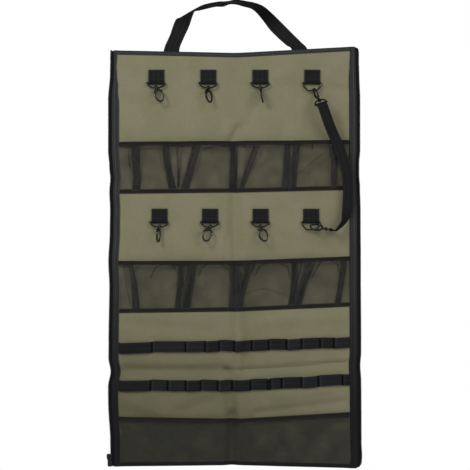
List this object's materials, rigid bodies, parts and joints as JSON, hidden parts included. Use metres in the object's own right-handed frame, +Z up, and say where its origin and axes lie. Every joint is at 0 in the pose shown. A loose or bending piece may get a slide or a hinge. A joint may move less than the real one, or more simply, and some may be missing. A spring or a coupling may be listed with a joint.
{
  "type": "hanging organizer",
  "caption": "Fold-up canvas organizer that hangs by a handle, with mesh pockets, webbing loops, snap hooks, a strap and an open-end zip.",
  "frame": {"origin": "underside of the handle at its highest point, in the plane of the panel's front face", "axes": "+X to the right seen from the front, +Y to the back, +Z up; the front faces -Y"},
  "size_m": [0.6085, 0.0808, 1.1193],
  "materials": {
    "canvas": "olive woven polyester canvas, matte",
    "binding": "black ribbed binding tape, matte",
    "webbing": "black woven webbing",
    "mesh": "fine dark mesh",
    "zip": "black zip tape and nylon coil",
    "gunmetal": "polished gunmetal plating"
  },
  "bodies": {
    "left_half": {"bottom_pocket_left": "mesh", "edge_binding_left": "binding", "handle_left": "webbing", "lower_loops_left": "webbing", "lower_mesh_binding_left": "binding", "lower_mesh_left": "mesh", "panel_left": "canvas", "tab_lower_1": "webbing", "tab_lower_2": "webbing", "tab_upper_1": "webbing", "tab_upper_2": "webbing", "upper_loops_left": "webbing", "upper_mesh_binding_left": "binding", "upper_mesh_left": "mesh", "zip_left": "zip"},
    "right_half": {"bottom_pocket_right": "mesh", "edge_binding_right": "binding", "handle_right": "webbing", "lower_loops_right": "webbing", "lower_mesh_binding_right": "binding", "lower_mesh_right": "mesh", "panel_right": "canvas", "tab_lower_3": "webbing", "tab_lower_4": "webbing", "tab_upper_3": "webbing", "tab_upper_4": "webbing", "upper_loops_right": "webbing", "upper_mesh_binding_right": "binding", "upper_mesh_right": "mesh", "zip_right": "zip"},
    "upper_1_loop": {"upper_1_loop": "gunmetal"},
    "upper_1_hook": {"upper_1_hook": "gunmetal"},
    "upper_1_gate": {"upper_1_gate": "gunmetal"},
    "upper_2_loop": {"upper_2_loop": "gunmetal"},
    "upper_2_hook": {"upper_2_hook": "gunmetal"},
    "upper_2_gate": {"upper_2_gate": "gunmetal"},
    "upper_3_loop": {"upper_3_loop": "gunmetal"},
    "upper_3_hook": {"upper_3_hook": "gunmetal"},
    "upper_3_gate": {"upper_3_gate": "gunmetal"},
    "lower_1_loop": {"lower_1_loop": "gunmetal"},
    "lower_1_hook": {"lower_1_hook": "gunmetal"},
    "lower_1_gate": {"lower_1_gate": "gunmetal"},
    "lower_2_loop": {"lower_2_loop": "gunmetal"},
    "lower_2_hook": {"lower_2_hook": "gunmetal"},
    "lower_2_gate": {"lower_2_gate": "gunmetal"},
    "lower_3_loop": {"lower_3_loop": "gunmetal"},
    "lower_3_hook": {"lower_3_hook": "gunmetal"},
    "lower_3_gate": {"lower_3_gate": "gunmetal"},
    "strap": {"strap": "webbing", "strap_top_loop": "gunmetal", "strap_top_hook": "gunmetal", "strap_bottom_loop": "gunmetal", "strap_bottom_hook": "gunmetal"},
    "strap_top_gate": {"strap_top_gate": "gunmetal"},
    "strap_bottom_gate": {"strap_bottom_gate": "gunmetal"},
    "ring_upper": {"ring_upper": "gunmetal"},
    "ring_lower": {"ring_lower": "gunmetal"},
    "zip_slider": {"zip_slider": "gunmetal"},
    "zip_puller": {"zip_puller": "gunmetal"}
  },
  "joints": [
    {"name": "centre_fold", "type": "hinge", "parent": "left_half", "child": "right_half", "pos_m": [0, -0.018, -0.617], "axis": [0, 0, -1], "range_deg": [0, 155]},
    {"name": "upper_1_tilt", "type": "hinge", "parent": "left_half", "child": "upper_1_loop", "pos_m": [-0.18805, -0.00405, -0.19585], "axis": [-1, 0, 0], "range_deg": [0, 132]},
    {"name": "upper_1_swivel", "type": "hinge", "parent": "upper_1_loop", "child": "upper_1_hook", "pos_m": [-0.18805, -0.00812, -0.20767], "axis": [-0.342, 0.3059, 0.8885], "continuous": true},
    {"name": "upper_1_gate_press", "type": "hinge", "parent": "upper_1_hook", "child": "upper_1_gate", "pos_m": [-0.18057, -0.01053, -0.21466], "axis": [0, 0.9455, -0.3256], "range_deg": [0, 22], "stiffness_Nm_per_rad": 0.01, "springref_deg": -8.59},
    {"name": "upper_2_tilt", "type": "hinge", "parent": "left_half", "child": "upper_2_loop", "pos_m": [-0.06335, -0.00405, -0.19585], "axis": [-1, 0, 0], "range_deg": [0, 132]},
    {"name": "upper_2_swivel", "type": "hinge", "parent": "upper_2_loop", "child": "upper_2_hook", "pos_m": [-0.06335, -0.00812, -0.20767], "axis": [-0.0872, 0.3243, 0.9419], "continuous": true},
    {"name": "upper_2_gate_press", "type": "hinge", "parent": "upper_2_hook", "child": "upper_2_gate", "pos_m": [-0.05935, -0.0081, -0.2174], "axis": [-0.7044, 0.6485, -0.2885], "range_deg": [0, 22], "stiffness_Nm_per_rad": 0.01, "springref_deg": -8.59},
    {"name": "upper_3_tilt", "type": "hinge", "parent": "right_half", "child": "upper_3_loop", "pos_m": [0.06135, -0.00405, -0.19585], "axis": [-1, 0, 0], "range_deg": [0, 132]},
    {"name": "upper_3_swivel", "type": "hinge", "parent": "upper_3_loop", "child": "upper_3_hook", "pos_m": [0.06135, -0.00812, -0.20767], "axis": [-0.1564, 0.3216, 0.9339], "continuous": true},
    {"name": "upper_3_gate_press", "type": "hinge", "parent": "upper_3_hook", "child": "upper_3_gate", "pos_m": [0.06346, -0.00693, -0.21791], "axis": [-0.9781, 0.0812, -0.1918], "range_deg": [0, 22], "stiffness_Nm_per_rad": 0.01, "springref_deg": -8.59},
    {"name": "lower_1_tilt", "type": "hinge", "parent": "left_half", "child": "lower_1_loop", "pos_m": [-0.18045, -0.00405, -0.52925], "axis": [-1, 0, 0], "range_deg": [0, 132]},
    {"name": "lower_1_swivel", "type": "hinge", "parent": "lower_1_loop", "child": "lower_1_hook", "pos_m": [-0.18045, -0.00812, -0.54107], "axis": [0.0872, 0.3243, 0.9419], "continuous": true},
    {"name": "lower_1_gate_press", "type": "hinge", "parent": "lower_1_hook", "child": "lower_1_gate", "pos_m": [-0.17975, -0.00725, -0.55153], "axis": [-0.9361, 0.35, -0.0339], "range_deg": [0, 22], "stiffness_Nm_per_rad": 0.01, "springref_deg": -8.59},
    {"name": "lower_2_tilt", "type": "hinge", "parent": "left_half", "child": "lower_2_loop", "pos_m": [-0.05915, -0.00405, -0.52925], "axis": [-1, 0, 0], "range_deg": [0, 132]},
    {"name": "lower_2_swivel", "type": "hinge", "parent": "lower_2_loop", "child": "lower_2_hook", "pos_m": [-0.05915, -0.00812, -0.54107], "axis": [0.2924, 0.3113, 0.9042], "continuous": true},
    {"name": "lower_2_gate_press", "type": "hinge", "parent": "lower_2_hook", "child": "lower_2_gate", "pos_m": [-0.05767, -0.01091, -0.5511], "axis": [-0.1331, 0.9496, -0.2839], "range_deg": [0, 22], "stiffness_Nm_per_rad": 0.01, "springref_deg": -8.59},
    {"name": "lower_3_tilt", "type": "hinge", "parent": "right_half", "child": "lower_3_loop", "pos_m": [0.06215, -0.00405, -0.52925], "axis": [-1, 0, 0], "range_deg": [0, 132]},
    {"name": "lower_3_swivel", "type": "hinge", "parent": "lower_3_loop", "child": "lower_3_hook", "pos_m": [0.06215, -0.00812, -0.54107], "axis": [-0.2924, 0.3113, 0.9042], "continuous": true},
    {"name": "lower_3_gate_press", "type": "hinge", "parent": "lower_3_hook", "child": "lower_3_gate", "pos_m": [0.06923, -0.01065, -0.54842], "axis": [0, 0.9455, -0.3256], "range_deg": [0, 22], "stiffness_Nm_per_rad": 0.01, "springref_deg": -8.59},
    {"name": "strap_swing", "type": "hinge", "parent": "right_half", "child": "strap", "pos_m": [0.19005, -0.00735, -0.21456], "axis": [0.0288, 0.0038, -0.9996], "range_deg": [0, 15]},
    {"name": "strap_top_gate_press", "type": "hinge", "parent": "strap", "child": "strap_top_gate", "pos_m": [0.19903, -0.02456, -0.22936], "axis": [-0.9298, -0.2886, -0.2286], "range_deg": [0, 10], "stiffness_Nm_per_rad": 0.01, "springref_deg": -8.59},
    {"name": "strap_bottom_gate_press", "type": "hinge", "parent": "strap", "child": "strap_bottom_gate", "pos_m": [0.20966, -0.01453, -0.54173], "axis": [-0.0166, -0.6928, 0.7209], "range_deg": [0, 10], "stiffness_Nm_per_rad": 0.01, "springref_deg": -8.59},
    {"name": "ring_upper_tilt", "type": "hinge", "parent": "right_half", "child": "ring_upper", "pos_m": [0.18605, -0.00405, -0.19585], "axis": [-1, 0, 0], "range_deg": [0, 5]},
    {"name": "ring_lower_tilt", "type": "hinge", "parent": "right_half", "child": "ring_lower", "pos_m": [0.18345, -0.00405, -0.52925], "axis": [-1, 0, 0], "range_deg": [0, 5]},
    {"name": "zip_slide", "type": "slide", "parent": "left_half", "child": "zip_slider", "axis": [0, 0, 1], "range_m": [0, 0.9654]},
    {"name": "puller_flip", "type": "hinge", "parent": "zip_slider", "child": "zip_puller", "pos_m": [-0.301, -0.0044, -1.0903], "axis": [-1, 0, 0], "range_deg": [0, 150]}
  ]
}
